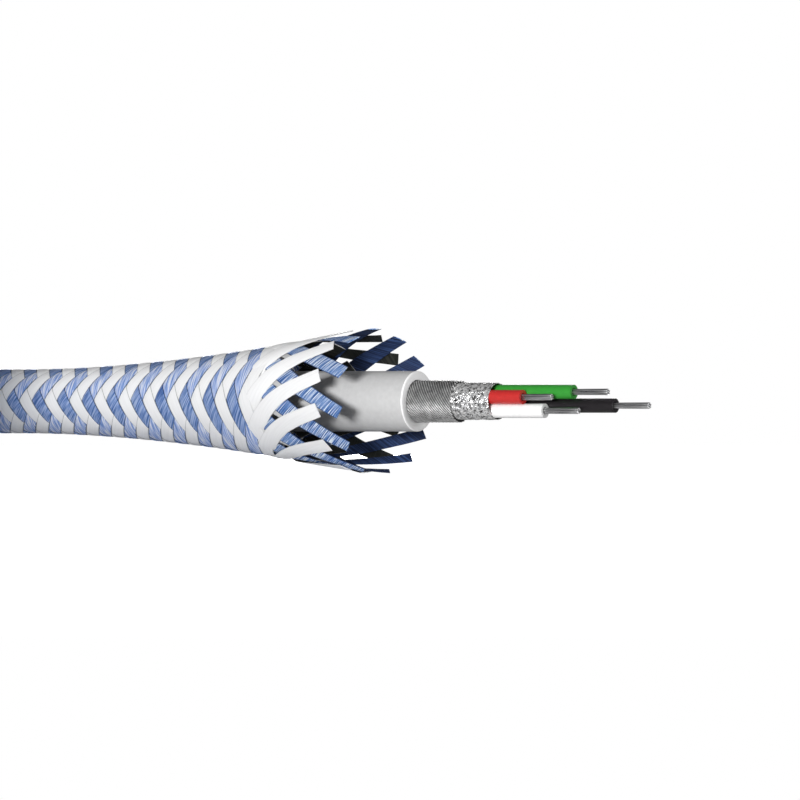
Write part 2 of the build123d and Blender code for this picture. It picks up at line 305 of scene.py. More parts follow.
def streaks(made, first, second):
    """Fine threads on a tape: noise drawn out along a line, from 0 to 1.

    first and second give the noise's two coordinates, each as (share of along, share of across).
    """
    along, across = made.along()
    place = [
        made.math("ADD", made.math("MULTIPLY", along, a), made.math("MULTIPLY", across, b))
        for a, b in (first, second)
    ]
    return made.noise(made.vector(*place), detail=2.0)


def edge_shade_mask(made, start, end):
    """Where a tape's edges are painted dark, as painted shade: 1 at its two edges, 0.5 from its
    middle, and 0 between them.
    """
    across = made.along()[1]
    return made.ramp(made.math("ABSOLUTE", across), (start, 0.0), (end, 1.0))


def blue_tape(name, metallic, first, second, tones, stops=(0.36, 0.50, 0.62)):
    """A shiny blue tape with a hatch of threads in three tones, whose lightest tone is a painted
    highlight (glints on the threads) and whose edges are painted dark as painted shade.
    """
    made = Material(name, roughness=0.48, metallic=metallic)
    hatch = streaks(made, first, second)
    # The lightest of the three tones stands for glints on the threads: a painted highlight.
    tone = made.ramp(hatch, *zip(stops, tones))
    # The edges are painted dark blue: painted shade where the tapes meet.
    made.color(made.mix(edge_shade_mask(made, 0.43, 0.48), tone, (0.02, 0.05, 0.16)))
    made.bump(hatch, 0.012)
    return made.data


def white_tape(name, tone, edge, edge_end=0.0):
    """A smooth white tape, whose edges are painted in a darker tone of their own, as painted shade,
    as far forward as edge_end.
    """
    made = Material(name, roughness=0.55)
    hatch = streaks(made, (0.5, 9.0), (0.4, 0.0))
    threads = made.ramp(hatch, (0.2, 0.94 * tone), (0.6, tone))
    edged = made.math("LESS_THAN", made.place_along(), edge_end * MM)
    # Painted shade: the tape's edges take the darker edge tone.
    edges = made.math("MULTIPLY", edge_shade_mask(made, 0.45, 0.49), edged)
    made.color(made.mix(edges, threads, (edge, edge, edge)))
    made.bump(hatch, 0.004)
    return made.data


def tape_back(name, dark, light):
    """The inner face of a tape, painted much darker than its outer face, as painted shade."""
    made = Material(name, roughness=0.6)
    hatch = streaks(made, (7.0, 5.0), (0.4, 0.6))
    made.color(made.ramp(hatch, (0.45, dark), (0.70, light)))
    made.bump(hatch, 0.01)
    return made.data


def sleeve_weave():
    """The same weave drawn on the plain tube of the put-away cable.

    right and left count the tapes of each hand, so the nearest whole numbers are the two tapes
    that cross at a point. crossing says which of the two lies over the other.
    """
    made = Material("woven_sleeve", roughness=0.42)
    along, around = made.along()
    base = made.math("MULTIPLY", around, TAPES)
    shift = made.math("MULTIPLY", along, TAPES / LAY)
    right, left = made.math("SUBTRACT", base, shift), made.math("ADD", base, shift)
    numbers = [made.math("FLOOR", made.math("ADD", value, 0.5)) for value in (right, left)]
    crossing = made.math("FLOORED_MODULO", made.math("ADD", *numbers), 4.0)
    over = made.math("LESS_THAN", made.math("ABSOLUTE", made.math("SUBTRACT", crossing, 1.5)), 1.0)

    def chosen(if_right, if_left):
        """The value of the tape that lies over the other."""
        gap = made.math("SUBTRACT", if_right, if_left)
        return made.math("ADD", if_left, made.math("MULTIPLY", gap, over))

    odd = chosen(*[made.math("FLOORED_MODULO", n, 2.0) for n in numbers])
    across = chosen(
        made.math("SUBTRACT", right, numbers[0]), made.math("SUBTRACT", left, numbers[1])
    )
    slanted = made.math("ADD", along, made.math("MULTIPLY", across, 1.2))
    place = made.vector(
        made.math("MULTIPLY", slanted, 8.0), made.math("MULTIPLY", across, 1.5)
    )
    hatch = made.noise(place, detail=2.0)
    blue = made.ramp(
        hatch, (0.30, (0.07, 0.18, 0.46)), (0.50, (0.16, 0.31, 0.63)), (0.68, (0.42, 0.58, 0.88))
    )
    tone = made.mix(odd, blue, (0.90, 0.90, 0.90))
    from_middle = made.math("ABSOLUTE", across)
    # The tapes' edges are painted dark, as painted shade where the tapes meet.
    sides = made.ramp(from_middle, (0.41, 0.0), (0.48, 1.0))
    made.color(made.mix(sides, tone, (0.06, 0.08, 0.14)))
    fall = made.math("POWER", made.math("MULTIPLY", from_middle, 2.0), 2.5)
    crown = made.math("MULTIPLY", made.math("SUBTRACT", 1.0, fall), 0.5)
    made.bump(made.math("ADD", crown, made.math("MULTIPLY", hatch, 0.1)), 0.09)
    return made.data


def jacket_plastic():
    """White plastic, whose cut face is painted brighter than its side, as painted light."""
    made = Material("jacket_plastic", roughness=0.42)
    grain = made.noise(made.place(), 2500.0, 4.0)
    # The cut face is painted near white, brighter than the side: painted light.
    cut = made.math("GREATER_THAN", made.place_along(), (jacket_high.x - JACKET_EDGE_R) * MM)
    made.color(made.mix(cut, made.ramp(grain, (0.3, 0.57), (0.7, 0.62)), (0.97, 0.97, 0.97)))
    made.bump(grain, 0.003)
    return made.data


def core_plastic(name, color):
    """The shiny plastic of a core's insulation."""
    made = Material(name, color, roughness=0.34)
    grain = made.noise(made.place(), 3000.0, 3.0)
    darker = tuple(0.92 * c for c in color)
    made.color(made.mix(made.ramp(grain, (0.35, 0.0), (0.65, 1.0)), darker, color))
    made.bump(grain, 0.004)
    return made.data


def metal(name, color, roughness):
    """Drawn or turned metal, with fine marks drawn out along X."""
    made = Material(name, color, metallic=1.0, roughness=roughness)
    apart = made.node("SeparateXYZ")
    made.feed(apart.inputs[0], made.place())
    stretched = made.vector(
        made.math("DIVIDE", apart.outputs[0], 6.0), apart.outputs[1], apart.outputs[2]
    )
    grain = made.noise(stretched, 4000.0, 4.0)
    made.color(made.mix(grain, tuple(0.78 * c for c in color), color))
    made.rough(made.ramp(grain, (0.3, roughness - 0.08), (0.7, roughness + 0.1)))
    made.bump(grain, 0.002)
    return made.data


def foil_metal():
    """Crumpled foil, part metallic, whose colour is painted in small light and dark specks, as
    painted reflections.
    """
    made = Material("foil", metallic=0.6, roughness=0.25)
    crumple = made.noise(made.place(), 3200.0, 5.0, 0.65)
    # Painted reflections: the colour runs from near black to near white in small specks.
    painted_reflections = made.noise(made.place(), 4200.0, 3.0, 0.7)
    made.color(made.ramp(painted_reflections, (0.38, 0.03), (0.46, 0.55), (0.56, 0.98)))
    made.bump(crumple, 0.10)
    return made.data


def screen_metal():
    """Tinned copper, painted near black as painted shade where its wires sink between their
    neighbours.
    """
    made = Material("screen_wire", metallic=0.5, roughness=0.5)
    around = made.along()[1]
    crown = made.math("ABSOLUTE", made.math("SUBTRACT", made.math("MULTIPLY", around, 2.0), 1.0))
    tarnish = made.noise(made.place(), 1800.0, 4.0, 0.65)
    shade = made.ramp(tarnish, (0.35, 0.30), (0.65, 0.62))
    # Where a wire turns inwards, its colour goes near black: painted shade.
    made.color(made.mix(made.ramp(crown, (0.55, 1.0), (0.9, 0.0)), shade, (0.03, 0.03, 0.03)))
    return made.data


def fabric(name, color):
    """The pile of a hook-and-loop strap, with faint rows across it."""
    made = Material(name, color, roughness=0.9)
    fuzz = made.noise(made.place(), 4200.0, 5.0, 0.7)
    rows = made.math("SINE", made.math("MULTIPLY", made.along()[0], 9.0))
    dark, light = tuple(0.4 * c for c in color), tuple(1.9 * c for c in color)
    made.color(made.mix(fuzz, dark, light))
    made.bump(made.math("ADD", fuzz, made.math("MULTIPLY", rows, 0.2)), 0.12)
    return made.data


def moulded(name, color, roughness):
    """Moulded plastic, rubber or board, with a fine grain."""
    made = Material(name, color, roughness=roughness)
    grain = made.noise(made.place(), 1800.0, 5.0, 0.6)
    dark, light = tuple(0.75 * c for c in color), tuple(min(1.2 * c, 1.0) for c in color)
    made.color(made.mix(grain, dark, light))
    made.bump(grain, 0.01)
    return made.data


# The woven tapes catch the light differently by the way they slant, so each hand has its own copy of
# the same blue: the right-hand one painted lighter, as painted light, and the left-hand one darker,
# as painted shade
BLUE_LIT_AND_SHADED = {
    "left": blue_tape(
        "blue_tape_left_painted_shade", 0.55, (8.6, 3.5), (-0.3, 0.6),
        ((0.10, 0.21, 0.56), (0.30, 0.45, 0.82), (0.55, 0.68, 0.96)),
    ),
    "right": blue_tape(
        "blue_tape_right_painted_light", 0.2, (-4.8, 9.6), (0.6, 0.3),
        ((0.19, 0.33, 0.72), (0.42, 0.55, 0.90), (0.86, 0.89, 1.0)), (0.38, 0.49, 0.60),
    ),
}
# The loose blue ends' near-white tone is a painted highlight: glints on their threads.
BLUE_LOOSE = blue_tape(
    "blue_tape_loose", 0.2, (10.5, 3.4), (0.15, 0.5),
    ((0.03, 0.09, 0.32), (0.12, 0.27, 0.62), (0.85, 0.92, 1.0)), (0.38, 0.49, 0.60),
)
WHITE = white_tape("white_tape", 0.96, 0.36, WEAVE_END)
WHITE_LOOSE = white_tape("white_tape_loose", 0.97, 0.80)
# A darker copy of the white tape for the ends that show inside the fray: painted shade.
WHITE_SHADED_INNER = white_tape("white_tape_inner_painted_shade", 0.62, 0.45)
# The tapes' inner faces are painted near black and navy: painted shade inside the fray.
BLUE_BACK = tape_back("blue_tape_back_painted_shade", (0.006, 0.016, 0.06), (0.05, 0.10, 0.26))
WHITE_BACK = tape_back("white_tape_back_painted_shade", (0.010, 0.011, 0.009), (0.035, 0.036, 0.03))
WIRE = metal("tinned_wire", (0.62, 0.62, 0.63), 0.33)
SCREEN_WIRE = screen_metal()
CORE_PLASTICS = {
    "red": core_plastic("red_core_plastic", (0.56, 0.028, 0.026)),
    "green": core_plastic("green_core_plastic", (0.035, 0.31, 0.035)),
    "black": core_plastic("black_core_plastic", (0.012, 0.010, 0.012)),
    "white": core_plastic("white_core_plastic", (0.97, 0.97, 0.97)),
}

# ---- the woven stretch of the sleeve --------------------------------------------------

# The sleeve widens from FLARE_START on, by FLARE_RATE times a power of the distance
FLARE_START = -39.0
FLARE_RATE = 0.00715
FLARE_POWER = 1.75
TAPE_T = 0.075
# How far a tape rises where it lies over, and sinks where it lies under
WEAVE_RISE = 0.055
TAPE_MARGIN = 0.012
TAPE_COLUMNS = 9
TAPE_STEP = 0.16
# Half the stretch in which a tape goes from over to under, in crossings
TURN_HALF = 0.32
# Where each kind of tape ends, in crossings from WEAVE_X: by its hand, and 1 if it is white
LAST_END = {("right", 0): -21.5, ("left", 0): -22.5, ("right", 1): -19.5, ("left", 1): -20.5}


def flare_r(x):
    """The sleeve's outer radius at x, which the loose ends carry on."""
    return cable_r + FLARE_RATE * max(0.0, x - FLARE_START) ** FLARE_POWER


def tape_profile(f, thickness):
    """Half a tape's thickness at f, from -0.5 to 0.5 across it: thin at its edges."""
    return thickness / 2 * (1 - 0.8 * abs(2 * f) ** 2.5)


def woven_height(position):
    """1 where a right-hand tape passes over and -1 where it passes under."""
    gone = (position - 1.5 + 2) % 4 - 2
    level = min(max((1 - abs(gone)) / TURN_HALF, -1.0), 1.0)
    return sin(level * pi / 2)


def row_slant(t):
    """How far a row across a tape runs along it, at a share t of the tape's length."""
    row_x, row_round = -LAY * t / CROSSINGS, tau * cable_r * (2 - t) / CROSSINGS
    return (row_x + row_round * tape_slope) / sqrt(1 + tape_slope**2)


def woven_tape(shape, hand, number, end_x):
    """One tape of the weave, made on a grid along and across it."""
    sign = 1 if hand == "right" else -1
    begin, end = (CROSSINGS * (x - WEAVE_X) / LAY for x in (start_x, end_x))
    columns = [f * (1 - TAPE_MARGIN) for f in evenly(-0.5, 0.5, TAPE_COLUMNS)]
    count = ceil((end_x - start_x) / TAPE_STEP)
    tops, bottoms, us = [], [], []
    for k in range(count + 1):
        t = k / count
        top, bottom = [], []
        for f in columns:
            own = number + f
            first, last = own + sign * begin, number + sign * end
            other = first + (last - first) * t
            right, left = (own, other) if hand == "right" else (other, own)
            x = LAY * (left - right) / CROSSINGS + WEAVE_X
            turn = tau * (left + right) / CROSSINGS + WEAVE_TURN
            height = sign * WEAVE_RISE * woven_height(number + other)
            middle = flare_r(x) - TAPE_T + height
            half = tape_profile(f, TAPE_T)
            top.append(about_x(x, middle + half, turn))
            bottom.append(about_x(x, middle - half, turn))
        tops.append(top)
        bottoms.append(bottom)
        us.append(t * (end_x - start_x) * sqrt(1 + tape_slope**2))
    own_uvs = len(shape.uvs)
    shape.strip(tops, bottoms, us, evenly(-0.5, 0.5, TAPE_COLUMNS))
    # The rows slant across the tape, and the UVs have to lie square on it
    shape.uvs[own_uvs:] = [
        (u + sign * v * row_slant(u / us[-1]), v) for u, v in shape.uvs[own_uvs:]
    ]


def make_weave():
    """The woven stretch, in four pieces: each colour's tapes of each hand."""
    for odd, color in enumerate(("blue", "white")):
        for hand in ("right", "left"):
            material = WHITE if odd else BLUE_LIT_AND_SHADED[hand]
            shape = Shape()
            for number in range(odd, TAPES, 2):
                end_x = LAY * LAST_END[hand, odd] / CROSSINGS + WEAVE_X
                woven_tape(shape, hand, number, end_x)
            name = f"{color}_{hand}_tapes"
            add_piece(name, shape, material, ["braided_sleeve"])


# ---- the loose ends -------------------------------------------------------------------

# Each loose end's cut tip: its turn round the cable in degrees, and its x
WHITE_TIPS = (
    (53, -6.1), (22, -6.3), (-7, -6.2), (-38, -6.0), (-69, -5.8), (-98, -5.7),
    (-126, -5.1), (-156, -5.4), (174, -5.2), (145, -5.2), (119, -5.5), (86, -6.3),
)
BLUE_TIPS = (
    (58, -4.3), (23, -3.8), (-9, -3.9), (-38, -3.8), (-72, -4.2), (-107, -4.0),
    (-131, -3.3), (-155, -3.1), (177, -3.4), (147, -3.3), (122, -3.9), (91, -4.4),
)
LOOSE_ROWS = 44
LOOSE_COLUMNS = 11
LOOSE_T = 0.09
# How much of the curve across it an end has lost at its tip
TIP_FLATNESS = 0.4
# How far a root is tucked under the weave, and for what share of the end's length
TUCK = 0.14
TUCK_SHARE = 0.12
PATH_STEP = 0.01
# An end's hatch starts at one of HATCH_STARTS places, HATCH_SHIFT apart
HATCH_SHIFT = 1.7
HATCH_STARTS = 11
# How each kind runs from its root to its cut tip: lean and steep in degrees, power an
# exponent, cut a slope, and the rest in millimetres
WHITE_RUN = dict(root_x=-14.0, lean=24.0, steep=38.0, power=4, wide=1.56, narrow=1.28, cut=0.12)
BLUE_RUN = dict(root_x=-13.9, lean=-42.0, steep=-28.0, power=3, wide=1.62, narrow=1.22, cut=-0.2)
INNER_RUN = dict(root_x=-14.2, lean=-24.0, steep=-26.0, power=3, wide=1.60, narrow=1.45, cut=0.0)
# How far inside the white ends the others run
BLUE_DROP = 0.17
INNER_DROP = 0.27
# Where the inner ends' tips are, and how far round they are from the blue ones in degrees
INNER_TIP_X = -9.3
INNER_TURN = 24.0


def loose_tape(shape, tip_angle, tip_x, drop, root_x, lean, steep, power, wide, narrow, cut):
    """A loose end: it leaves the weave on its own slant and straightens to its cut tip."""
    length = tip_x - root_x

    def path(t):
        x = root_x + length * t
        turn = radians(tip_angle - lean * (1 - t) - steep * (1 - t) ** power)
        tucked = TUCK * (1 - smooth(t / TUCK_SHARE))
        return about_x(x, flare_r(x) - drop - tucked, turn), turn

    tops, bottoms, us = [], [], []
    columns = evenly(-0.5, 0.5, LOOSE_COLUMNS)
    gone = 0.0
    for k in range(LOOSE_ROWS):
        t = k / (LOOSE_ROWS - 1)
        point, turn = path(t)
        ahead, behind = path(t + PATH_STEP)[0], path(max(t - PATH_STEP, 0.0))[0]
        forward = (ahead - behind).normalized()
        outward = about_x(0.0, 1.0, turn)
        outward = (outward - outward.dot(forward) * forward).normalized()
        across = forward.cross(outward)
        width = wide + (narrow - wide) * smooth(t)
        top, bottom = [], []
        for f in columns:
            side = f * width
            bend = side * side / (2 * flare_r(point.x)) * (1 - TIP_FLATNESS * t)
            slant = forward * side * cut * smooth(t)
            middle = point + across * side + slant - outward * bend
            half = tape_profile(f, LOOSE_T)
            top.append(middle + outward * half)
            bottom.append(middle - outward * half)
        if tops:
            gone += (tops[-1][LOOSE_COLUMNS // 2] - top[LOOSE_COLUMNS // 2]).length
        tops.append(top)
        bottoms.append(bottom)
        us.append(gone + HATCH_SHIFT * (tip_angle % HATCH_STARTS))
    shape.strip(tops, bottoms, us, columns)


def make_loose_ends():
    """The white and blue loose ends, and the white ends that show between and inside them."""
    kinds = (
        ("white", WHITE_TIPS, 0.0, WHITE_RUN, WHITE_LOOSE, WHITE_BACK),
        ("blue", BLUE_TIPS, BLUE_DROP, BLUE_RUN, BLUE_LOOSE, BLUE_BACK),
    )
    for color, tips, drop, run, material, back in kinds:
        for i, (angle, x) in enumerate(tips):
            shape = Shape()
            loose_tape(shape, angle, x, drop, **run)
            add_piece(
                f"{color}_loose_end_{i + 1:02d}", shape, material,
                [f"{color}_tape_end_{i + 1:02d}"], back=back,
            )
    shape = Shape()
    for angle, _ in BLUE_TIPS:
        loose_tape(shape, angle + INNER_TURN, INNER_TIP_X, INNER_DROP, **INNER_RUN)
    add_piece(
        "inner_white_ends", shape, WHITE_SHADED_INNER, ["braided_sleeve"], back=WHITE_BACK
    )


# ---- jacket, screen, foil and wires ---------------------------------------------------

JACKET_CLEARANCE = 0.01
JACKET_SIDES = 96
SCREEN_SIDES = 64
SCREEN_WIRES = 32
SCREEN_WIRE_R = 0.085
SCREEN_LAY = 7.6
SCREEN_STEP = 0.35
SCREEN_WIRE_SIDES = 5
FOIL_SIDES = 120
FOIL_STEP = 0.06
FOIL_WALL = 0.06
# How far under the screen the crumpled stretch begins
FOIL_UNDER = 0.6
# Folds and sharper creases per millimetre, how deep they are and how far they may stand out
FOLD_SCALE = 3.2
CREASE_SCALE = 6.0
CRUMPLE_DEPTH = 0.05
CRUMPLE_OUT = 0.01
STRANDS_ROUND = 6
STRAND_SIDES = 10
STRAND_LAY = 70.0
STRAND_STEP = 0.8
STRAND_TURN = 0.35


def make_jacket():
    """The jacket's tube, with the edges of its cut face rounded off."""
    bore_r = screen_high.z + JACKET_CLEARANCE
    end, edge_r, rim_r = jacket_high.x, JACKET_EDGE_R, JACKET_EDGE_R / 2
    outline = [(start_x, jacket_r)]
    for a in evenly(0, pi / 2, 6):
        outline.append((end - edge_r * (1 - sin(a)), jacket_r - edge_r * (1 - cos(a))))
    for a in evenly(0, pi / 2, 4):
        outline.append((end - rim_r * (1 - cos(a)), bore_r + rim_r * (1 - sin(a))))
    outline.append((start_x, bore_r))
    shape = Shape()
    turned(shape, outline, JACKET_SIDES)
    add_piece("cable_jacket", shape, jacket_plastic(), ["jacket"])


def make_screen():
    """A layer of fine wires laid in a steep helix over a thin tube."""
    wall, end = screen_high.z - 2 * SCREEN_WIRE_R, screen_high.x
    tube = [(start_x, wall), (end, wall), (end, foil_high.z), (start_x, foil_high.z)]
    shape = Shape()
    turned(shape, tube, SCREEN_SIDES)
    middle_r = screen_high.z - SCREEN_WIRE_R
    slope = tau * middle_r / SCREEN_LAY
    steps = ceil((end - start_x) / SCREEN_STEP)
    for wire in range(SCREEN_WIRES):
        rows, us = [], []
        for k in range(steps + 1):
            x = start_x + (end - start_x) * k / steps
            turn = tau * (wire / SCREEN_WIRES - x / SCREEN_LAY)
            ring = []
            for m in range(SCREEN_WIRE_SIDES):
                angle = tau * m / SCREEN_WIRE_SIDES
                out, side = SCREEN_WIRE_R * cos(angle), SCREEN_WIRE_R * sin(angle)
                slant = side / sqrt(1 + slope**2)
                ring.append(about_x(x + slant * slope, middle_r + out, turn + slant / middle_r))
            rows.append(ring)
            us.append(x - start_x)
        closed_tube(shape, rows, us)
    add_piece("screen_wires", shape, SCREEN_WIRE, ["wire_screen"])


def make_foil():
    """A thin wrap whose visible stretch is crumpled."""
    end, outer_r, inner_r = foil_high.x, foil_high.z, foil_high.z - FOIL_WALL
    visible = screen_high.x - FOIL_UNDER
    count = ceil((end - visible) / FOIL_STEP)
    xs = [start_x] + [visible + (end - visible) * k / count for k in range(count + 1)]
    turns = [tau * m / FOIL_SIDES for m in range(FOIL_SIDES)]
    rows = []
    for x in xs:
        ring = []
        for turn in turns:
            point = about_x(x, outer_r, turn)
            fold = noise.fractal(point * FOLD_SCALE, 0.8, 2.2, 3, noise_basis="BLENDER")
            crease = abs(noise.noise(point * CREASE_SCALE))
            rise = CRUMPLE_DEPTH * (fold - crease) if x > start_x else 0.0
            ring.append(about_x(x, outer_r + min(rise, CRUMPLE_OUT), turn))
        rows.append(ring)
    for x, r in ((end, inner_r), (start_x, inner_r), (start_x, outer_r)):
        rows.append([about_x(x, r, turn) for turn in turns])
    us = [x - start_x for x in xs] + [end - start_x, 0.0, 0.0]
    shape = Shape()
    shape.grid(rows, us, evenly(0, 1, FOIL_SIDES + 1))
    add_piece("crumpled_foil", shape, foil_metal(), ["foil_wrap"])


def make_cores():
    """The four cores: the CAD insulations in their own plastics, and stranded conductors."""
    for color, plastic in CORE_PLASTICS.items():
        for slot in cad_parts[f"{color}_insulation"].material_slots:
            slot.material = plastic
        low, high = node_box(f"{color}_conductor")
        middle = (low + high) / 2
        # Three strands lie side by side across a conductor
        strand_r = (high.z - low.z) / 6
        lay_r = 2 * strand_r
        shape = Shape()
        for number in range(STRANDS_ROUND + 1):
            make_strand(shape, number, middle.y, middle.z, strand_r, lay_r, high.x)
        add_piece(f"{color}_strands", shape, WIRE, [f"{color}_conductor"])


def make_strand(shape, number, y, z, strand_r, lay_r, end_x):
    """One strand of a conductor, with a rounded tip. Strand 0 is the middle one."""
    count = int((end_x - start_x) / STRAND_STEP)
    xs = [start_x + STRAND_STEP * k for k in range(count)] + [end_x - strand_r]
    profile = [(x, 1.0) for x in xs]
    for a in (radians(30), radians(55), radians(75)):
        profile.append((end_x - strand_r * (1 - sin(a)), cos(a)))
    off = lay_r if number else 0.0
    rows, us = [], []
    for x, share in profile:
        turn = tau * (number / STRANDS_ROUND + (x - end_x) / STRAND_LAY) + STRAND_TURN
        centre = Vector((x, y + off * cos(turn), z + off * sin(turn)))
        r = strand_r * share
        angles = [tau * m / STRAND_SIDES for m in range(STRAND_SIDES)]
        rows.append([centre + Vector((0, r * cos(a), r * sin(a))) for a in angles])
        us.append(x - start_x)
    closed_tube(shape, rows, us)


# ---- the put-away cable ---------------------------------------------------------------

# The coil's section is a square of four columns, counted inwards, and four layers, counted
# up. SLOTS names the (column, layer) that each stretch of the winding lies in, in order.
COLUMN_PITCH = 5.5
LAYER_PITCH = 5.45
OUTER_TURN_R = 38.75
COIL_CENTRE = Vector((-72.0, -38.75, 0.0))
SLOTS = (
    (0, 1), (0, 2), (0, 3), (1, 3), (1, 2), (1, 1), (2, 1), (2, 2),
    (2, 3), (3, 3), (3, 2), (3, 1), (3, 0), (2, 0), (1, 0), (0, 0),
)
# How far the cable winds in all, and how much of that a move to the next slot takes, in degrees
TURNS_ANGLE = 14 * 360 + 115
MOVE_ANGLE = 60.0
TURN_POINTS = 16
# The smooth line runs inside its points, at this share of their distance from the middle
PULL_IN = 0.981
# The tie squeezes the section where the turns are this near to it in degrees, by this share
TIE_SQUEEZE = ((23.5, 0.93), (1.0, 0.84))
# The cable itself is thinner there, down to this share of its radius
SQUEEZED_R = 0.87
SQUEEZE_ANGLE = 38.0
# How far outside the outer turns a point still counts as in the coil
COIL_REACH = 2.0
# The plug's axis, and the points of the route on either side of the coil
PLUG_Y, PLUG_Z = -88.680, 0.2
LEAD_ROUTE = ((-44.0, 0.0, 0.0), (-52.0, 0.0, 0.0), (-62.0, 0.0, 1.4), (-72.0, 0.0, 1.830))
TAIL_ROUTE = (
    (-107.1, -55.1, -3.620), (-101.2, -67.8, -3.620), (-92.2, -78.5, -3.220),
    (-81.0, -85.6, -1.620), (-69.0, PLUG_Y, PLUG_Z), (-56.5, PLUG_Y, PLUG_Z),
    (-37.0, PLUG_Y, PLUG_Z),
)
CORD_SIDES = 18


def coil_points():
    """The coil's turns, each slot of its section filled in the order that it is wound."""
    slot_angle = TURNS_ANGLE / len(SLOTS)
    section_r = OUTER_TURN_R - 1.5 * COLUMN_PITCH
    section_z = lying_z + 1.5 * LAYER_PITCH
    step = 360.0 / TURN_POINTS
    points = []
    for k in range(1, int(TURNS_ANGLE / step)):
        gone = step * k
        number = int(gone / slot_angle)
        moved = smooth((gone - number * slot_angle - slot_angle + MOVE_ANGLE) / MOVE_ANGLE)
        here, there = SLOTS[number], SLOTS[min(number + 1, len(SLOTS) - 1)]
        column = here[0] + (there[0] - here[0]) * moved
        layer = here[1] + (there[1] - here[1]) * moved
        angle = 90.0 + gone
        off = abs((angle + 180.0) % 360.0 - 180.0)
        squeeze = 1.0
        for width, amount in TIE_SQUEEZE:
            if off < width:
                squeeze = amount
        r = section_r + (OUTER_TURN_R - COLUMN_PITCH * column - section_r) * squeeze
        z = section_z + (lying_z + LAYER_PITCH * layer - section_z) * squeeze
        turn = radians(angle)
        points.append(COIL_CENTRE + Vector((r / PULL_IN * cos(turn), r / PULL_IN * sin(turn), z)))
    return points


def route_line():
    """The points of the smooth line through the whole route, in millimetres."""
    controls = [Vector(p) for p in LEAD_ROUTE] + coil_points() + [Vector(p) for p in TAIL_ROUTE]
    curve = bpy.data.curves.new("cord_route", "CURVE")
    curve.dimensions = "3D"
    spline = curve.splines.new("NURBS")
    spline.points.add(len(controls) - 1)
    for point, control in zip(spline.points, controls):
        point.co = (*(control * MM), 1.0)
    spline.order_u = 3
    spline.use_endpoint_u = True
    spline.resolution_u = 8
    holder = bpy.data.objects.new("cord_route", curve)
    mesh = bpy.data.meshes.new_from_object(holder)
    line = [v.co / MM for v in mesh.vertices]
    bpy.data.objects.remove(holder)
    bpy.data.curves.remove(curve)
    bpy.data.meshes.remove(mesh)
    return line


def make_cord():
    """The put-away cable, with the line that it follows and its length in millimetres."""
    line = route_line()
    shape = Shape()
    rows, us = [], []
    gone = 0.0
    side = Vector((0, -1, 0))
    for k, point in enumerate(line):
        forward = (line[min(k + 1, len(line) - 1)] - line[max(k - 1, 0)]).normalized()
        side = (side - side.dot(forward) * forward).normalized()
        up = forward.cross(side)
        from_centre = point - COIL_CENTRE
        in_coil = from_centre.xy.length < OUTER_TURN_R + COIL_REACH
        off = degrees(Vector((1, 0)).angle(from_centre.xy))
        r = cable_r
        if in_coil and off < SQUEEZE_ANGLE:
            r = cable_r * (1 - (1 - SQUEEZED_R) * smooth(1 - off / SQUEEZE_ANGLE))
        ring = []
        for m in range(CORD_SIDES):
            angle = tau * m / CORD_SIDES
            ring.append(point + side * (r * cos(angle)) + up * (r * sin(angle)))
        if k:
            gone += (point - line[k - 1]).length
        rows.append(ring)
        us.append(gone)
    closed_tube(shape, rows, us)
    cord = add_piece(
        "sleeved_cable", shape, sleeve_weave(),
        ["cable_lead_in", "cable_coil", "cable_tail"], sharp=80.0,
    )
    return cord, line, gone


TIE_LAYER_T = 0.55
TIE_GAP = 0.1
TIE_CORNER_R = 2.4
# The strap climbs on itself over TIE_CLIMB, lies on itself for TIE_OVERLAP, and then has a
# free tab that lifts off by TIE_TAB_SLOPE
TIE_CLIMB = 4.0
TIE_OVERLAP = 13.0
TIE_TAB = 4.0
TIE_TAB_SLOPE = 0.12
TIE_WIDTH_SHARE = 0.995
TIE_COLUMNS = 9


def tie_outline(inset):
    """Points and outward normals round the coil's section, from the middle of its top."""
    a = (tie_high.x - tie_low.x) / 2 - inset
    b = (tie_high.z - tie_low.z) / 2 - inset
    r = TIE_CORNER_R
    corners = ((a - r, b - r, 90), (a - r, r - b, 0), (r - a, r - b, -90), (r - a, b - r, -180))
    up = Vector((0, 0, 1))
    found = [(Vector((x, 0, b)), up) for x in evenly(0.0, a - r, 8)]
    for number, (cx, cz, first) in enumerate(corners):
        for step in range(1, 7):
            turn = radians(first - 15 * step)
            way = Vector((cos(turn), 0, sin(turn)))
            found.append((Vector((cx, 0, cz)) + way * r, way))
        if number < 3:
            nx, nz, next_first = corners[number + 1]
            turn = radians(next_first)
            way = Vector((cos(turn), 0, sin(turn)))
            goal = Vector((nx, 0, nz)) + way * r
            begin = found[-1][0]
            found += [(begin + (goal - begin) * t, way) for t in evenly(0.1, 1, 9)]
    found += [(Vector((x, 0, b)), up) for x in evenly(r - a, 0.0, 8)[1:]]
    return found


def tie_path():
    """The middle of the strap: once round the section, and then over itself to its tab."""
    path = tie_outline(TIE_LAYER_T * 1.5 + TIE_GAP)
    over = tie_outline(TIE_LAYER_T * 0.5)
    gone = 0.0
    for (p, n), (q, _) in zip(over, over[1:]):
        rise = smooth(gone / TIE_CLIMB)
        low = p - n * (TIE_LAYER_T + TIE_GAP) * (1 - rise)
        lift = max(0.0, gone - TIE_OVERLAP) * TIE_TAB_SLOPE
        path.append((low + n * lift, n))
        gone += (q - p).length
        if gone > TIE_OVERLAP + TIE_TAB:
            break
    return path


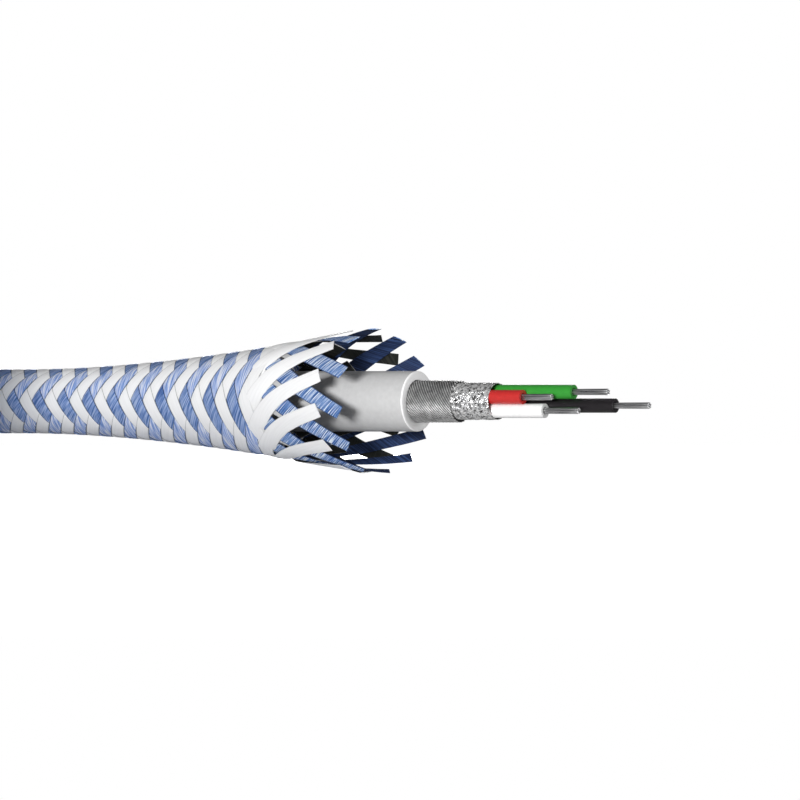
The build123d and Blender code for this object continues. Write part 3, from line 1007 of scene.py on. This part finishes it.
def make_tie():
    """A hook-and-loop strap round the coil, a little thinner at its edges."""
    middle = (tie_low + tie_high) / 2
    width = (tie_high.y - tie_low.y) * TIE_WIDTH_SHARE
    columns = evenly(-0.5, 0.5, TIE_COLUMNS)
    path = tie_path()
    tops, bottoms, us = [], [], []
    length = 0.0
    for k, (p, n) in enumerate(path):
        if k:
            length += (p - path[k - 1][0]).length
        top, bottom = [], []
        for f in columns:
            half = TIE_LAYER_T / 2 * (1 - 0.5 * abs(2 * f) ** 6)
            side = middle + p + Vector((0, f * width, 0))
            top.append(side + n * half)
            bottom.append(side - n * half)
        tops.append(top)
        bottoms.append(bottom)
        us.append(length)
    shape = Shape()
    shape.strip(tops, bottoms, us, columns)
    pile = fabric("tie_fabric", (0.03, 0.035, 0.045))
    return add_piece("coil_strap", shape, pile, ["coil_tie"])


# ---- the plug -------------------------------------------------------------------------

PLUG_LOOKS = {
    "plug_nickel": (metal("plug_nickel", (0.78, 0.77, 0.74), 0.16),
                    ("sleeve_contact", "ring_contact", "tip_contact")),
    "terminal_brass": (metal("terminal_brass", (0.72, 0.66, 0.50), 0.28),
                       ("ring_lug", "tip_lug", "earth_clamp")),
    "insulator_black": (moulded("insulator_black", (0.02, 0.02, 0.02), 0.3),
                        ("ring_insulator", "tip_insulator")),
    "insulator_board": (moulded("insulator_board", (0.30, 0.15, 0.05), 0.6),
                        ("front_lug_insulator", "rear_lug_insulator")),
    "liner_plastic": (moulded("liner_plastic", (0.80, 0.78, 0.72), 0.35), ("insulating_liner",)),
    "barrel_metal": (metal("barrel_metal", (0.56, 0.57, 0.60), 0.34), ("barrel",)),
    "chuck_plastic": (moulded("chuck_plastic", (0.06, 0.06, 0.065), 0.45), ("cable_chuck",)),
    "boot_rubber": (moulded("boot_rubber", (0.025, 0.025, 0.028), 0.7), ("strain_relief_boot",)),
}


def make_plug():
    """Gives the plug's CAD nodes their materials, and returns the nodes' names."""
    names = []
    for material, nodes in PLUG_LOOKS.values():
        for name in nodes:
            names.append(name)
            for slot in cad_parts[name].material_slots:
                slot.material = material
    return names


# ---- stage ----------------------------------------------------------------------------

# The camera looks level, from VIEW_AZIMUTH, through a lens so long that it shows almost no
# perspective. The picture is FRAME_WIDTH wide where VIEW_TARGET lies.
LENS = 1200.0
SENSOR = 36.0
FRAME_WIDTH = 66.67
VIEW_AZIMUTH = radians(33.0)
VIEW_TARGET = Vector((-1.275, -0.828, 0.11))
FLOOR_R = 1500.0
FLOOR_SIDES = 64
# The floor glows for the camera: its strength at these two distances in metres
FLOOR_GLOW = ((0.45, 0.8), (0.75, 1.0))
WORLD_LIGHT = 0.10
LIGHT_TARGET = Vector((-0.02, -0.01, 0.0))
# Each light's azimuth and elevation in degrees, distance and size in metres, and watts
LIGHTS = {
    "key": (12, 3, 0.9, 0.2, 11.6),
    "end": (100, 10, 0.9, 0.4, 2.6),
    "top": (60, 75, 0.8, 0.5, 0.2),
    "back": (215, 3, 0.9, 0.25, 5.0),
}


def make_camera():
    data = bpy.data.cameras.new("camera")
    data.lens, data.sensor_width = LENS, SENSOR
    data.clip_start, data.clip_end = 0.1, 20.0
    camera = bpy.data.objects.new("camera", data)
    bpy.context.scene.collection.objects.link(camera)
    back = Vector((sin(VIEW_AZIMUTH), -cos(VIEW_AZIMUTH), 0.0))
    camera.location = (VIEW_TARGET + back * (FRAME_WIDTH * LENS / SENSOR)) * MM
    camera.rotation_mode = "QUATERNION"
    camera.rotation_quaternion = (-back).to_track_quat("-Z", "Y")
    bpy.context.scene.camera = camera


def make_light(name, azimuth, elevation, distance, size, power):
    """A soft square light that points at the cable's end."""
    data = bpy.data.lights.new(name, "AREA")
    data.shape = "SQUARE"
    data.size = size
    data.energy = power
    light = bpy.data.objects.new(name, data)
    bpy.context.scene.collection.objects.link(light)
    a, e = radians(azimuth), radians(elevation)
    back = Vector((sin(a) * cos(e), -cos(a) * cos(e), sin(e)))
    light.location = LIGHT_TARGET + back * distance
    light.rotation_mode = "QUATERNION"
    light.rotation_quaternion = (-back).to_track_quat("-Z", "Y")
    light.visible_camera = False


def make_floor():
    """A wide floor that the camera sees as white."""
    ring = []
    for m in range(FLOOR_SIDES):
        turn = tau * m / FLOOR_SIDES
        ring.append(Vector((FLOOR_R * cos(turn), FLOOR_R * sin(turn), floor_z)) * MM)
    mesh = bpy.data.meshes.new("floor")
    mesh.from_pydata([v[:] for v in ring], [], [tuple(range(FLOOR_SIDES))])
    floor_piece = bpy.data.objects.new("floor", mesh)
    bpy.context.scene.collection.objects.link(floor_piece)
    made = Material("floor", (0.9, 0.9, 0.9), roughness=0.9)
    made.shader.inputs["Specular IOR Level"].default_value = 0.0
    made.shader.inputs["Emission Color"].default_value = (1, 1, 1, 1)
    seen = made.node("LightPath").outputs["Is Camera Ray"]
    far = made.node("VectorMath", operation="LENGTH")
    made.feed(far.inputs[0], made.place())
    glow = made.ramp(far.outputs["Value"], *FLOOR_GLOW)
    made.feed(made.shader.inputs["Emission Strength"], made.math("MULTIPLY", seen, glow))
    mesh.materials.append(made.data)


def make_world():
    """White to the camera, and a dim light to everything else."""
    world = bpy.data.worlds.new("studio")
    world.use_nodes = True
    nodes, links = world.node_tree.nodes, world.node_tree.links
    seen, lit = nodes["Background"], nodes.new("ShaderNodeBackground")
    lit.inputs[0].default_value, lit.inputs[1].default_value = (1, 1, 1, 1), WORLD_LIGHT
    seen.inputs[0].default_value, seen.inputs[1].default_value = (1, 1, 1, 1), 1.0
    path, chooser = nodes.new("ShaderNodeLightPath"), nodes.new("ShaderNodeMixShader")
    links.new(path.outputs["Is Camera Ray"], chooser.inputs[0])
    links.new(lit.outputs[0], chooser.inputs[1])
    links.new(seen.outputs[0], chooser.inputs[2])
    links.new(chooser.outputs[0], nodes["World Output"].inputs[0])
    bpy.context.scene.world = world
    bpy.context.scene.view_settings.view_transform = "Standard"



make_camera()
make_weave()
make_loose_ends()
make_jacket()
make_screen()
make_foil()
make_cores()
cord, cord_line, cord_length = make_cord()
strap = make_tie()
plug_nodes = make_plug()
make_floor()
make_world()
for light_name, light_values in LIGHTS.items():
    make_light(light_name, *light_values)
